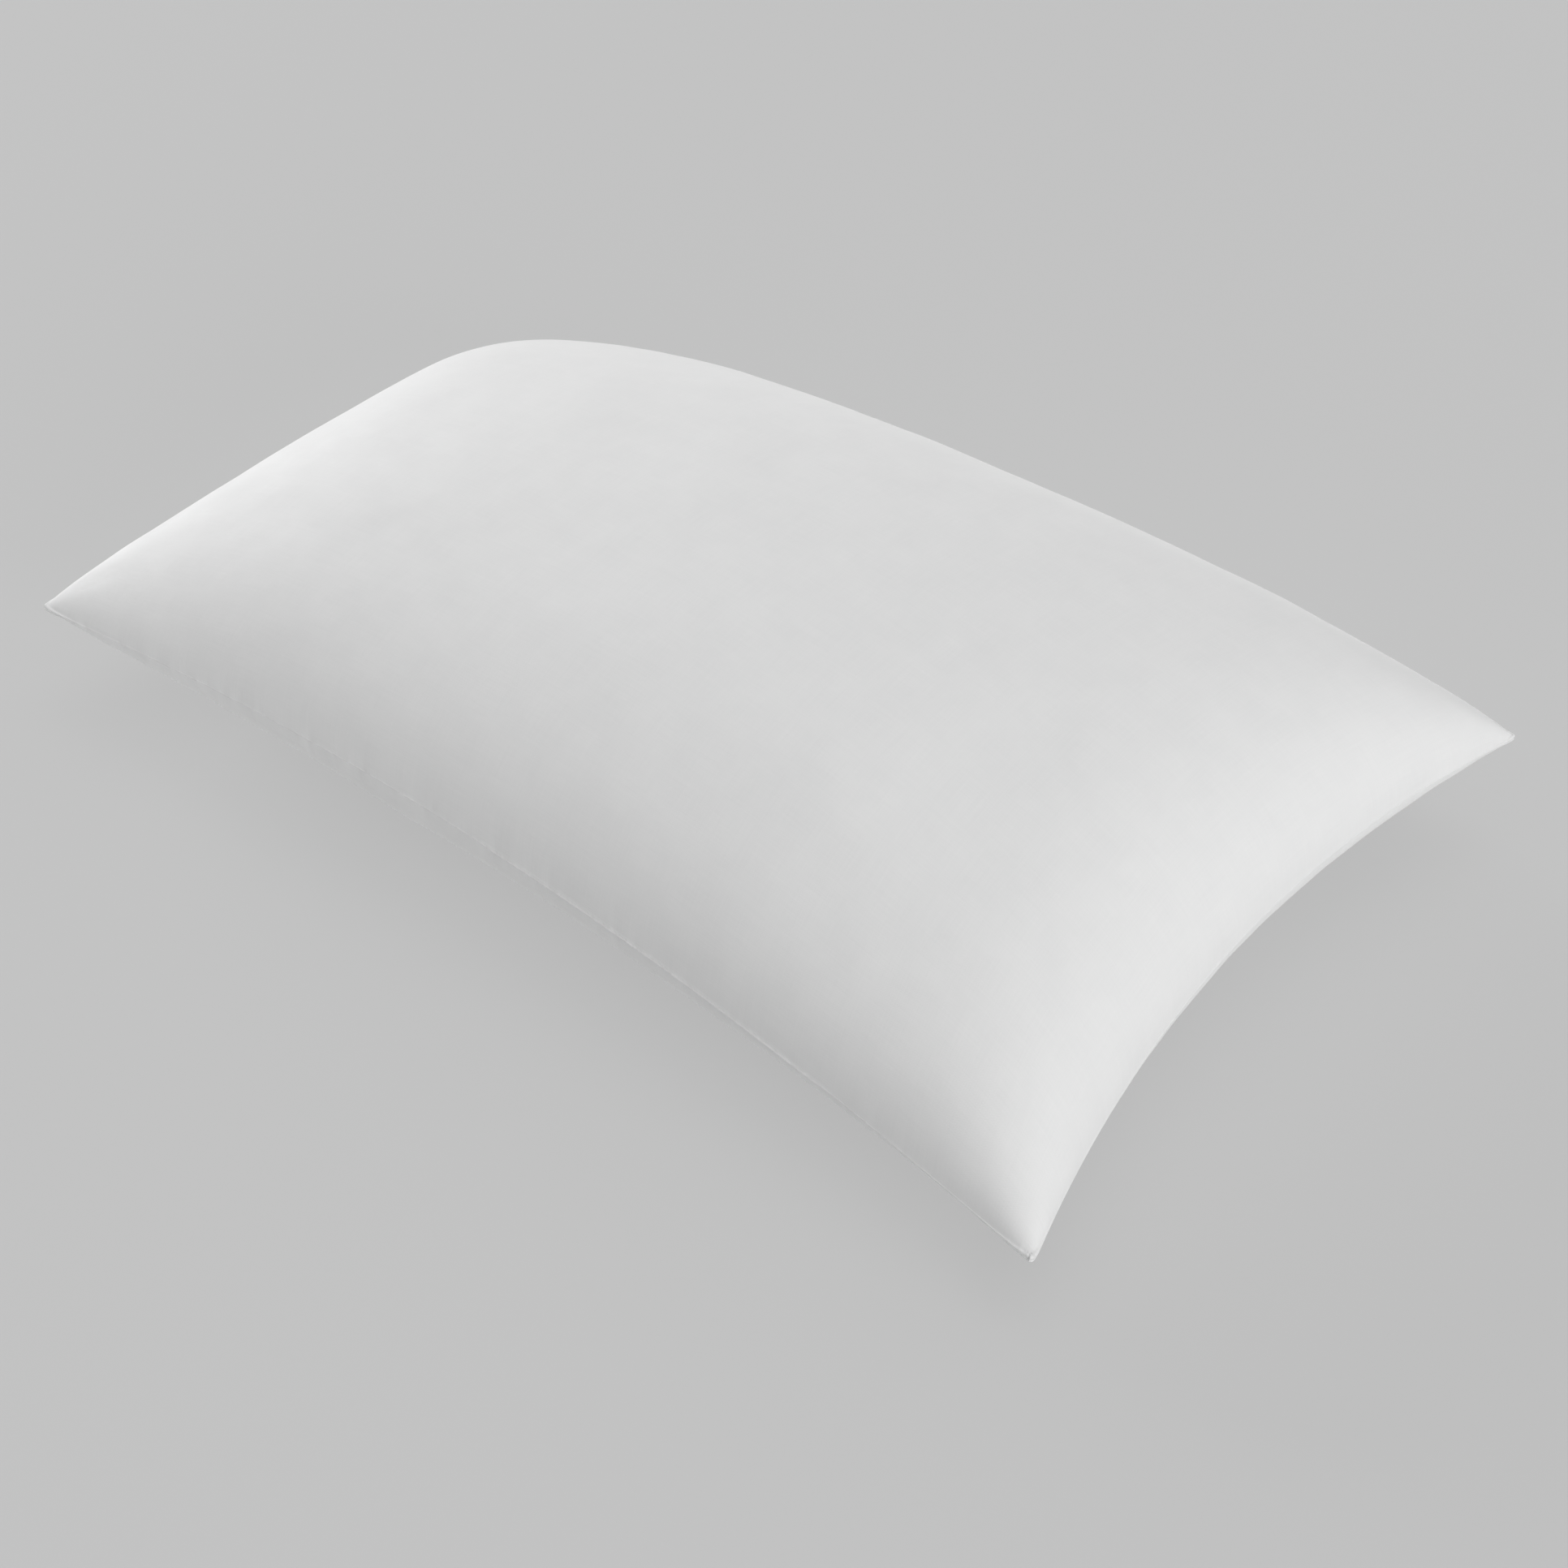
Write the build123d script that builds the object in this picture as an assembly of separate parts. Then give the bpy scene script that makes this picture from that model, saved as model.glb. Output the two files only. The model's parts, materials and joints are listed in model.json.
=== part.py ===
from build123d import *
import math
import os
import numpy as np

# Bed pillow: a knife-edge cotton cover of two panels, filled with a fibre core between two batts.
# +X runs along the long side and +Z points up; the origin is under the middle, on the rest plane.
# Units are millimetres. The near long edge is at -Y and the far one at +Y.

# Outline of the seam, tip to tip, and how far each edge pulls in between its tips.
half_length = 360.0
half_width = 234.0
pull_left = 15.0
pull_right = 33.0
pull_near = 22.0
pull_far = 21.0

# Height of the seam surface above the rest plane: columns are left, middle, right.
seam_heights_near = (57.0, 55.0, 30.0)
seam_heights_middle = (69.0, 72.0, 51.0)
seam_heights_far = (27.0, 53.0, 57.0)

# The crown: rise above the seam surface, how square its shoulders are, and its lean.
crown_rise = 91.0
crown_fullness = 0.33
crown_lean_x = 0.02
crown_lean_y = 0.09

# The flat patch that it rests on, and how steeply the underside leaves it, from 0 to 1.
rest_half_length = 160.0
rest_half_width = 100.0
rest_edge = 0.1

# Cloth, seam and fill sizes. cloth_tip is how much further the inside of the cloth stays back in the tips.
cloth = 0.5
cloth_tip = 2.5
seam_allowance = 8.5
thread = 0.25
thread_clearance = 0.05
lockstitch_inset = 3.0
overlock_width = 2.5
fill_gap = 0.4
batt_thickness = 14.0
batt_lift = 0.3

# The stretch of the near seam that is closed after filling, as fractions of the edge.
closing_start = 0.47
closing_end = 0.82
closing_width = 0.8
closing_height = 0.7
closing_clearance = 0.05

# Care label: a folded blank tab that hangs from the far seam.
label_along = -0.55
label_width = 26.0
label_length = 30.0
label_thickness = 0.6
label_clearance = 0.3
label_corner_radius = 1.5

# Degrees of the polynomial patches in their two directions.
crown_degree = 7
flank_degree_along = 6
flank_degree_down = 2
eased_edge_degree = 6
even_edge_degree = 2

NEAR, RIGHT, FAR, LEFT = range(4)
SIDES = (NEAR, RIGHT, FAR, LEFT)


def even(t):
    # Runs from -1 to 1 at one pace.
    return 2.0 * t - 1.0


def eased(t):
    # Runs from -1 to 1 and arrives at both ends with no slope.
    return 2.0 * (3.0 * t**2 - 2.0 * t**3) - 1.0


def blend_three(table, u, v):
    # Quadratic blend of nine values over u and v from -1 to 1; rows of the table follow v.
    along = (u * (u - 1.0) / 2.0, 1.0 - u * u, u * (u + 1.0) / 2.0)
    across = (v * (v - 1.0) / 2.0, 1.0 - v * v, v * (v + 1.0) / 2.0)
    return sum(across[j] * along[i] * table[j][i] for j in range(3) for i in range(3))


def seam_plan(u, v, inset, tip):
    # Plan position on the seam surface, drawn in from the outline by the inset, and by more in the tips.
    long = half_length - inset
    wide = half_width - inset
    tip_x = long - tip
    tip_y = wide - tip
    x_table = ((-tip_x, 0.0, tip_x), (pull_left - long, 0.0, long - pull_right), (-tip_x, 0.0, tip_x))
    y_table = ((-tip_y, pull_near - wide, -tip_y), (0.0, 0.0, 0.0), (tip_y, wide - pull_far, tip_y))
    return blend_three(x_table, u, v), blend_three(y_table, u, v)


def seam_height(u, v):
    return blend_three((seam_heights_near, seam_heights_middle, seam_heights_far), u, v)


def crown_point(t, s, inset, tip, depth, lift):
    # Upper skin: starts upright at the seam, above it by the lift, and ends below the crown by the depth.
    u = eased(t)
    v = eased(s)
    x, y = seam_plan(u, v, inset, tip)
    dome = 16.0 * t * (1.0 - t) * s * (1.0 - s)
    rise = crown_rise - depth - lift
    lean = 1.0 + crown_lean_x * u + crown_lean_y * v
    return x, y, seam_height(u, v) + lift + rise * lean * dome * (1.0 + crown_fullness * (1.0 - dome))


def edge_place(side, along, reach_x, reach_y):
    # A place on one side of a rectangle with those half sizes.
    return {
        NEAR: (along * reach_x, -reach_y),
        RIGHT: (reach_x, along * reach_y),
        FAR: (along * reach_x, reach_y),
        LEFT: (-reach_x, along * reach_y),
    }[side]


def edge_point(side, along, inset, tip, height):
    # A point beside the seam line, drawn in by the inset and raised by the height.
    u, v = edge_place(side, along, 1.0, 1.0)
    x, y = seam_plan(u, v, inset, tip)
    return x, y, seam_height(u, v) + height


def flank_point(side, t, w, inset, tip, depth, lift):
    # Lower skin: w is 0 above the rest plane by the depth, and 1 below the seam by the lift.
    # It arrives upright at the seam between the tips, and at a slope in them.
    along = even(t)
    x_seam, y_seam, z_seam = edge_point(side, along, inset, tip, -lift)
    x_rest, y_rest = edge_place(side, along, rest_half_length - inset, rest_half_width - inset)
    to_tip = along**4
    inward = (1.0 - to_tip) * (1.0 - w) ** 2 + to_tip * (1.0 - w)
    x = x_seam + (x_rest - x_seam) * inward
    y = y_seam + (y_rest - y_seam) * inward
    climb = rest_edge * w + (1.0 - rest_edge) * w**2
    return x, y, depth + (z_seam - depth) * climb


def bernstein(degree):
    # Rows are sample places, columns are the Bezier weights there.
    places = np.linspace(0.0, 1.0, degree + 1)
    columns = [math.comb(degree, k) * places**k * (1.0 - places) ** (degree - k) for k in range(degree + 1)]
    return np.stack(columns, axis=1)


def bezier_face(formula, degree_a, degree_b):
    # The formula is a polynomial of these degrees, so the patch follows it exactly.
    places_a = np.linspace(0.0, 1.0, degree_a + 1)
    places_b = np.linspace(0.0, 1.0, degree_b + 1)
    samples = np.array([[formula(a, b) for b in places_b] for a in places_a])
    halfway = np.linalg.solve(bernstein(degree_a), samples.reshape(degree_a + 1, -1))
    halfway = halfway.reshape(degree_a + 1, degree_b + 1, 3).transpose(1, 0, 2)
    net = np.linalg.solve(bernstein(degree_b), halfway.reshape(degree_b + 1, -1))
    net = net.reshape(degree_b + 1, degree_a + 1, 3).transpose(1, 0, 2)
    return Face.make_bezier_surface([[Vector(*point) for point in row] for row in net.tolist()])


def crown_skin(inset, tip, depth, lift):
    def skin(t, s):
        return crown_point(t, s, inset, tip, depth, lift)
    return [bezier_face(skin, crown_degree, crown_degree)]


def flank_skin(inset, tip, depth, lift):
    # Four sloping sides and the flat face that they end on.
    faces = []
    for side in SIDES:
        def skin(t, w):
            return flank_point(side, t, w, inset, tip, depth, lift)
        faces.append(bezier_face(skin, flank_degree_along, flank_degree_down))
    x = rest_half_length - inset
    y = rest_half_width - inset
    corners = [Vector(-x, -y, depth), Vector(x, -y, depth), Vector(x, y, depth), Vector(-x, y, depth)]
    faces.append(Face(Wire.make_polygon(corners, close=True)))
    return faces


def band(start, end, pace=even, sides=SIDES, first=0.0, last=1.0):
    # Ruled strips along the seam between two (inset, tip, height) places.
    degree = eased_edge_degree if pace is eased else even_edge_degree
    faces = []
    for side in sides:
        def ruled(t, w):
            inset, tip, height = (a + (b - a) * w for a, b in zip(start, end))
            return edge_point(side, pace(first + (last - first) * t), inset, tip, height)
        faces.append(bezier_face(ruled, degree, 1))
    return faces


def closed_solid(faces):
    solid = Solid(Shell(faces))
    return solid if solid.volume > 0 else Solid(Shell([-face for face in faces]))


def seam_ring(section):
    # A closed ring around the whole seam, whose section is a list of (inset, tip, height) corners.
    faces = []
    for start, end in zip(section, section[1:] + section[:1]):
        faces += band(start, end)
    return closed_solid(faces)


def upper_panel():
    faces = crown_skin(0.0, 0.0, 0.0, 0.0) + crown_skin(cloth, cloth_tip, cloth, cloth)
    faces += band((0.0, 0.0, 0.0), (seam_allowance, 0.0, 0.0), eased)
    faces += band((seam_allowance, 0.0, 0.0), (seam_allowance, 0.0, cloth), eased)
    faces += band((seam_allowance, 0.0, cloth), (cloth, cloth_tip, cloth), eased)
    return closed_solid(faces)


def lower_panel():
    faces = flank_skin(0.0, 0.0, 0.0, 0.0) + flank_skin(cloth, cloth_tip, cloth, cloth)
    faces += band((0.0, 0.0, 0.0), (seam_allowance, 0.0, 0.0))
    faces += band((seam_allowance, 0.0, 0.0), (seam_allowance, 0.0, -cloth))
    faces += band((seam_allowance, 0.0, -cloth), (cloth, cloth_tip, -cloth))
    return closed_solid(faces)


def allowance_place(inset, height):
    # A place level with the inner face of a seam allowance, which stays back from the tips.
    back = (seam_allowance - inset) / (seam_allowance - cloth)
    return inset, cloth_tip * back, height


def lockstitch_thread(direction):
    # One of the two threads of the seam, lying along the outer face of a seam allowance.
    near = lockstitch_inset
    far = near + thread
    low = direction * (cloth + thread_clearance)
    high = low + direction * thread
    corners = [(near, low), (near, high), (far, high), (far, low)]
    return seam_ring([allowance_place(*corner) for corner in corners])


def overlock_thread():
    # Wraps the raw edges of both seam allowances.
    edge = seam_allowance + thread_clearance
    start = edge - overlock_width
    out = edge + thread
    low = cloth + thread_clearance
    high = low + thread
    corners = [
        (start, low), (start, high), (out, high), (out, -high),
        (start, -high), (start, -low), (edge, -low), (edge, low),
    ]
    return seam_ring([allowance_place(*corner) for corner in corners])


def fill_layer(stripped, lift):
    # Inset, tip, depth and lift of a fill surface. It starts inside the seam allowances and their overlock
    # thread, and lies this far below the outermost fibre.
    rim = seam_allowance + thread_clearance + thread + fill_gap
    return rim + stripped, 0.0, cloth + fill_gap + stripped, lift


def upper_batt():
    outer = fill_layer(0.0, batt_lift)
    inner = fill_layer(batt_thickness, batt_lift)
    rim = band((outer[0], 0.0, batt_lift), (inner[0], 0.0, batt_lift), eased)
    return closed_solid(crown_skin(*outer) + crown_skin(*inner) + rim)


def lower_batt():
    outer = fill_layer(0.0, batt_lift)
    inner = fill_layer(batt_thickness, batt_lift)
    rim = band((outer[0], 0.0, -batt_lift), (inner[0], 0.0, -batt_lift))
    return closed_solid(flank_skin(*outer) + flank_skin(*inner) + rim)


def fill_core():
    # Blown fibre: fills the space between the batts and reaches a little way between their rims.
    surface = fill_layer(batt_thickness + fill_gap, 0.0)
    return closed_solid(crown_skin(*surface) + flank_skin(*surface))


def closing_thread():
    # The close row of stitches along the outside of the edge that was sewn up last.
    inside = -closing_clearance
    outside = inside - closing_width
    half = closing_height / 2.0
    section = [(inside, 0.0, -half), (inside, 0.0, half), (outside, 0.0, half), (outside, 0.0, -half)]
    faces = []
    for start, end in zip(section, section[1:] + section[:1]):
        faces += band(start, end, even, (NEAR,), closing_start, closing_end)
    for place in (closing_start, closing_end):
        corners = [Vector(*edge_point(NEAR, even(place), *corner)) for corner in section]
        faces.append(Face(Wire.make_polygon(corners, close=True)))
    return closed_solid(faces)


def label_plane():
    # Origin where the label turns, just outside the far seam; x runs along the seam and y points up.
    here = Vector(*seam_plan(label_along, 1.0, 0.0, 0.0))
    ahead = Vector(*seam_plan(label_along + 0.01, 1.0, 0.0, 0.0))
    along = (ahead - here).normalized()
    outward = Vector(-along.Y, along.X)
    origin = here + outward * (label_clearance + label_thickness / 2.0)
    return Plane(origin + Vector(0.0, 0.0, seam_height(label_along, 1.0)), x_dir=along, z_dir=-outward)


def care_label():
    # Hangs from the seam, just clear of the cover.
    face = Pos(0.0, -label_length / 2.0, -label_thickness / 2.0) * RectangleRounded(
        label_width, label_length, label_corner_radius
    )
    return label_plane() * extrude(face, label_thickness)


def write(node, shape):
    export_step(shape, f"parts/{node}.step")
    print(f"{node}: {shape.volume:.0f} mm3, valid {shape.is_valid}")


os.makedirs("parts", exist_ok=True)
write("upper_cover_panel", upper_panel())
write("lower_cover_panel", lower_panel())
write("seam_needle_thread", lockstitch_thread(1.0))
write("seam_bobbin_thread", lockstitch_thread(-1.0))
write("overlock_thread", overlock_thread())
write("closing_seam_thread", closing_thread())
write("upper_fibre_batt", upper_batt())
write("lower_fibre_batt", lower_batt())
write("fibre_fill_core", fill_core())
write("care_label", care_label())
pivot = label_plane()
print(f"label hinge: position {pivot.origin}, axis {pivot.x_dir}")
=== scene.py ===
import bpy
import json
import math
import numpy as np
from mathutils import Matrix, Vector, noise


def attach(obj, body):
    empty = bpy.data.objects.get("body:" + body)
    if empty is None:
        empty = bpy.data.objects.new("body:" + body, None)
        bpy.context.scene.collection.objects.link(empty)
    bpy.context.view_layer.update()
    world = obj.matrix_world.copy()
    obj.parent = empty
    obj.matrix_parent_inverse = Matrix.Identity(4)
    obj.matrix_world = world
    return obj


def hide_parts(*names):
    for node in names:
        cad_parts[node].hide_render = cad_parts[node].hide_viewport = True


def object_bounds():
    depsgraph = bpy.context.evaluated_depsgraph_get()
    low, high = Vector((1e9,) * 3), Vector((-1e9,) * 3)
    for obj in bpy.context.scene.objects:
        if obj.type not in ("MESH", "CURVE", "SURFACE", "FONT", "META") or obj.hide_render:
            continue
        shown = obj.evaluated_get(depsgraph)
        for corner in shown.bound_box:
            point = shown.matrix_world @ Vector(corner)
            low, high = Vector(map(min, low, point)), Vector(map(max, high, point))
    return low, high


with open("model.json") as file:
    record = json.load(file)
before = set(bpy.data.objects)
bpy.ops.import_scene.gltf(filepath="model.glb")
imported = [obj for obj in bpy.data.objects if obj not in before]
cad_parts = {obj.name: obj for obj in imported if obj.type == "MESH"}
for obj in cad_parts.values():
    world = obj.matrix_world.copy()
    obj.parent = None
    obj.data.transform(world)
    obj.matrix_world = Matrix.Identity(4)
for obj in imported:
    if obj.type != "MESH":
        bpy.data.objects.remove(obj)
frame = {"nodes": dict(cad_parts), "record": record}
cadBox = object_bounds()
print("frame loaded:", len(frame["nodes"]), "nodes")

cameraSet = {
    "azimuth": 38.93,        # degrees round from the near long edge
    "elevation": 39.43,
    "roll": 1.445,
    "distance": 1.4356,      # metres from the middle of the rest patch, along the view
    "sideways": 0.01416,
    "upwards": -0.02148,
    "lens": 55.68,
}


def viewAxes(azimuth, elevation, roll=0.0):
    a, e, r = (math.radians(value) for value in (azimuth, elevation, roll))
    back = Vector((math.sin(a) * math.cos(e), -math.cos(a) * math.cos(e), math.sin(e)))
    level = Vector((math.cos(a), math.sin(a), 0))
    upright = back.cross(level)
    right = level * math.cos(r) + upright * math.sin(r)
    up = upright * math.cos(r) - level * math.sin(r)
    return right, up, back


def turnedTo(axes):
    return Matrix(axes).transposed().to_4x4()


def makeCamera(s):
    right, up, back = viewAxes(s["azimuth"], s["elevation"], s["roll"])
    camera = bpy.data.objects.new("camera", bpy.data.cameras.new("camera"))
    bpy.context.scene.collection.objects.link(camera)
    place = right * s["sideways"] + up * s["upwards"] + back * s["distance"]
    camera.matrix_world = Matrix.Translation(place) @ turnedTo((right, up, back))
    camera.data.lens = s["lens"]
    camera.data.clip_start = 0.05
    bpy.context.scene.camera = camera


# the floor glows a little, like a light table, so that shadows stay faint
floorSet = {"size": 14.0, "colour": (0.18, 0.181, 0.181, 1), "glow": 0.393,
            "glowColour": (1, 1, 1, 1), "roughness": 0.9, "specular": 0.1}


def makeFloor(s):
    half = s["size"] / 2
    mesh = bpy.data.meshes.new("studioFloor")
    corners = [(-half, -half, 0), (half, -half, 0), (half, half, 0), (-half, half, 0)]
    mesh.from_pydata(corners, [], [(0, 1, 2, 3)])
    floor = bpy.data.objects.new("studioFloor", mesh)
    bpy.context.scene.collection.objects.link(floor)
    material = bpy.data.materials.new("paleStudioFloor")
    material.use_nodes = True
    shader = material.node_tree.nodes["Principled BSDF"]
    shader.inputs["Base Color"].default_value = s["colour"]
    shader.inputs["Roughness"].default_value = s["roughness"]
    shader.inputs["Specular IOR Level"].default_value = s["specular"]
    shader.inputs["Emission Color"].default_value = s["glowColour"]
    shader.inputs["Emission Strength"].default_value = s["glow"]
    mesh.materials.append(material)


# lamps far off, so the floor is lit evenly: name, azimuth, elevation and width in degrees, strength
lampSet = [
    ("leftStripbox", 260, 3, 40, 3.76),
    ("rightStripbox", 70, 6, 40, 1.96),
    ("rightWall", 85, 20, 90, 0.66),
    ("topScrim", 0, 85, 90, 1.10),
    ("backSoftbox", 200, 50, 60, 0.63),
]
skySet = {"colour": (0.54, 0.54, 0.54, 1), "strength": 1.0}     # a backdrop that gives no light


def makeLights():
    for name, azimuth, elevation, width, strength in lampSet:
        lamp = bpy.data.lights.new(name, "SUN")
        lamp.energy = strength
        lamp.angle = math.radians(width)
        holder = bpy.data.objects.new(name, lamp)
        holder.matrix_world = turnedTo(viewAxes(azimuth, elevation))
        bpy.context.scene.collection.objects.link(holder)
    world = bpy.data.worlds.new("studioSky")
    world.use_nodes = True
    sky = world.node_tree.nodes["Background"]
    sky.inputs["Color"].default_value = skySet["colour"]
    seen = world.node_tree.nodes.new("ShaderNodeLightPath")
    share = world.node_tree.nodes.new("ShaderNodeMath")
    share.operation = "MULTIPLY"
    share.inputs[1].default_value = skySet["strength"]
    world.node_tree.links.new(seen.outputs["Is Camera Ray"], share.inputs[0])
    world.node_tree.links.new(share.outputs[0], sky.inputs["Strength"])
    bpy.context.scene.world = world
    bpy.context.scene.view_settings.view_transform = "Standard"


makeCamera(cameraSet)
makeFloor(floorSet)
makeLights()
print("camera, floor and lights made")

# the seam surface and the crown over it, in metres; rows run from the near edge to the far one
formSet = {
    "columns": 115,
    "rows": 77,
    "pull": {"left": 0.015, "right": 0.033, "near": 0.022, "far": 0.021},
    "seamHeights": ((0.057, 0.055, 0.030), (0.069, 0.072, 0.051), (0.027, 0.053, 0.057)),
    "rise": 0.091,
    "fullness": 0.33,
    "leanX": 0.02,
    "leanY": 0.09,
    # the filling is uneven: places along and across, and heights
    "fullSpots": ((-0.91, 0.42, 0.0068), (-0.85, 0.74, -0.0050), (-0.94, -0.42, -0.0035),
                  (-0.05, 0.82, 0.0018), (0.06, -0.52, 0.0045), (0.42, -0.58, 0.0060),
                  (0.82, -0.82, 0.0060), (-0.86, -0.86, -0.0055)),
    "spotLength": 0.20,      # how far each reaches
    "spotWidth": 0.32,
    "spotRise": 4,           # how fast they rise from the seam
    "restDome": 0.9,         # the underside is flat where the dome is above this
    "restPower": 1.5,
    "bedFade": 0.014,        # lumps and swelling fade out this near the bed
    "tipBlunt": 0.0026,      # how much the four tips are rounded off
    "tipPower": 40,
}
halfLength = cadBox[1].x
halfWidth = cadBox[1].y


def eased(t):
    return 2 * (3 * t**2 - 2 * t**3) - 1


def smooth(x):
    x = np.clip(x, 0, 1)
    return x * x * (3 - 2 * x)


def offBed(z):
    # 0 on the bed, easing to 1 above it, so that the line of contact stays even
    return smooth(z / formSet["bedFade"])


def tipShare(u, v, power):
    # 1 at the four tips, 0 away from them
    return np.abs(u * v) ** power


def blendThree(table, u, v):
    along = (u * (u - 1) / 2, 1 - u * u, u * (u + 1) / 2)
    across = (v * (v - 1) / 2, 1 - v * v, v * (v + 1) / 2)
    return sum(across[j] * along[i] * table[j][i] for j in range(3) for i in range(3))


def seamPoint(u, v, inset=0.0):
    pull = formSet["pull"]
    long, wide = halfLength - inset, halfWidth - inset
    xTable = ((-long, 0, long), (pull["left"] - long, 0, long - pull["right"]), (-long, 0, long))
    yTable = ((-wide, pull["near"] - wide, -wide), (0, 0, 0), (wide, wide - pull["far"], wide))
    blunt = formSet["tipBlunt"] * tipShare(u, v, formSet["tipPower"])
    x = blendThree(xTable, u, v) - np.sign(u) * blunt
    y = blendThree(yTable, u, v) - np.sign(v) * blunt
    return np.stack([x, y, blendThree(formSet["seamHeights"], u, v)], -1)


def domeAt(t, s):
    return 16 * t * (1 - t) * s * (1 - s)


def crownPoint(t, s, inset=0.0, depth=0.0, lift=0.0):
    u, v = eased(t), eased(s)
    point = seamPoint(u, v, inset)
    dome = domeAt(t, s)
    rise = (formSet["rise"] - depth - lift) * (1 + formSet["leanX"] * u + formSet["leanY"] * v)
    point[..., 2] += lift + rise * dome * (1 + formSet["fullness"] * (1 - dome))
    length, width = formSet["spotLength"], formSet["spotWidth"]
    for along, across, height in formSet["fullSpots"]:
        away = ((u - along) / length) ** 2 + ((v - across) / width) ** 2
        point[..., 2] += height * np.exp(-away) * np.minimum(formSet["spotRise"] * dome, 1)
    return point


def underPoint(t, s, inset=0.0, depth=0.0, lift=0.0):
    point = seamPoint(eased(t), eased(s), inset)
    left = 1 - np.minimum(domeAt(t, s) / formSet["restDome"], 1)
    point[..., 2] = depth + (point[..., 2] - lift - depth) * left ** formSet["restPower"]
    return point


tGrid, sGrid = np.meshgrid(np.linspace(0, 1, formSet["columns"]),
                           np.linspace(0, 1, formSet["rows"]), indexing="ij")


def gridQuads(columns, rows, flip=False):
    index = np.arange(columns * rows).reshape(columns, rows)
    quads = np.stack([index[:-1, :-1], index[1:, :-1], index[1:, 1:], index[:-1, 1:]], -1).reshape(-1, 4)
    return quads[:, ::-1] if flip else quads


def borderIndex(columns, rows):
    # grid indices once round the edge: near edge, right end, far edge, left end
    index = np.arange(columns * rows).reshape(columns, rows)
    return np.concatenate([index[:-1, 0], index[-1, :-1], index[:0:-1, -1], index[0, :0:-1]])


def addPiece(name, points, quads, material):
    mesh = bpy.data.meshes.new(name)
    mesh.from_pydata(np.asarray(points).tolist(), [], [list(map(int, quad)) for quad in quads])
    mesh.validate()
    mesh.shade_smooth()
    if material:
        mesh.materials.append(material)
    piece = bpy.data.objects.new(name, mesh)
    bpy.context.scene.collection.objects.link(piece)
    return piece


# the filling's pressure settles the cover from a slightly flatter start, mostly by less than a millimetre
inflateSet = {
    "startDepth": 0.0006,    # how much flatter the crown starts
    "pressure": 4.0,
    "quality": 6,
    "mass": 0.3,
    "frames": 20,
    "stretch": 90.0,
    "bending": 1.0,
    "farthest": 0.0035,      # no point moves further than this
    "restHeight": 0.0006,    # what is lower than this lies on the bed and stays
}


def softCap(moves, farthest):
    length = np.linalg.norm(moves, axis=-1, keepdims=True)
    return moves * np.tanh(length / farthest) * farthest / np.maximum(length, 1e-9)


def inflateCover(s):
    # both panels as one closed cloth, held along the seam and where it lies on the bed
    upper = crownPoint(tGrid, sGrid, 0.0, s["startDepth"]).reshape(-1, 3)
    lower = underPoint(tGrid, sGrid).reshape(-1, 3)
    border = borderIndex(*tGrid.shape)
    count = len(upper)
    lowerIndex = count + np.arange(count)
    lowerIndex[border] = border                    # the seam's points are shared
    quads = np.concatenate([gridQuads(*tGrid.shape), lowerIndex[gridQuads(*tGrid.shape, True)]])
    used, packed = np.unique(quads, return_inverse=True)
    start = np.concatenate([upper, lower])[used]
    cover = addPiece("coverCloth", start, packed.reshape(quads.shape), None)
    held = cover.vertex_groups.new(name="held")
    onSeam = np.isin(used, border)
    held.add(np.flatnonzero(onSeam | (start[:, 2] < s["restHeight"])).tolist(), 1.0, "REPLACE")
    cloth = cover.modifiers.new("inflate", "CLOTH")
    cloth.settings.quality = s["quality"]
    cloth.settings.mass = s["mass"]
    cloth.settings.vertex_group_mass = "held"
    for kind in ("tension", "compression", "shear"):
        setattr(cloth.settings, kind + "_stiffness", s["stretch"])
    cloth.settings.bending_stiffness = s["bending"]
    cloth.settings.use_pressure = True
    cloth.settings.uniform_pressure_force = s["pressure"]
    cloth.settings.effector_weights.gravity = 0
    cloth.collision_settings.use_collision = False
    cloth.point_cache.frame_start = 1
    cloth.point_cache.frame_end = s["frames"]
    for step in range(1, s["frames"] + 1):
        bpy.context.scene.frame_set(step)
    moved = np.empty(len(start) * 3, dtype=np.float32)
    swollen = cover.evaluated_get(bpy.context.evaluated_depsgraph_get())
    swollen.data.vertices.foreach_get("co", moved)
    bpy.data.objects.remove(cover)
    bpy.context.scene.frame_set(1)
    every = np.concatenate([upper, lower])
    moves = moved.reshape(-1, 3) - start
    raw = np.linalg.norm(moves, axis=-1)
    print("cloth moved: mean %.2f mm, farthest %.2f mm" % (raw.mean() * 1000, raw.max() * 1000))
    every[used] = start + softCap(moves, s["farthest"]) * offBed(start[:, 2:])
    every[:, 2] = np.maximum(every[:, 2], 0)       # the bed stops what is pushed down
    return every[:count].reshape(*tGrid.shape, 3), every[lowerIndex].reshape(*tGrid.shape, 3)


upperSkin, lowerSkin = inflateCover(inflateSet)
middle = (formSet["columns"] // 2, formSet["rows"] // 2)
planned = crownPoint(tGrid, sGrid)[middle][2]
print("cover settled: crown at %.4f m, planned %.4f m" % (upperSkin[middle][2], planned))


# soft unevenness of the filling and the pull of the seam, on top of the inflated skin
surfaceSet = {
    "lumps": ((0.0012, 9.0), (0.0009, 21.0), (0.0003, 46.0)),     # height in metres, lumps per metre
    "lumpRise": 2.5,         # how fast they rise from the seam
    "puckerHeight": 0.0005,
    "puckerReach": 0.016,
    "puckerRise": 0.004,
    "puckerWaves": ((0.083, 0.4, 0.3), (0.047, 0.4, 1.7), (0.031, 0.3, 4.1)),   # length, share, phase
}


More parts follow.
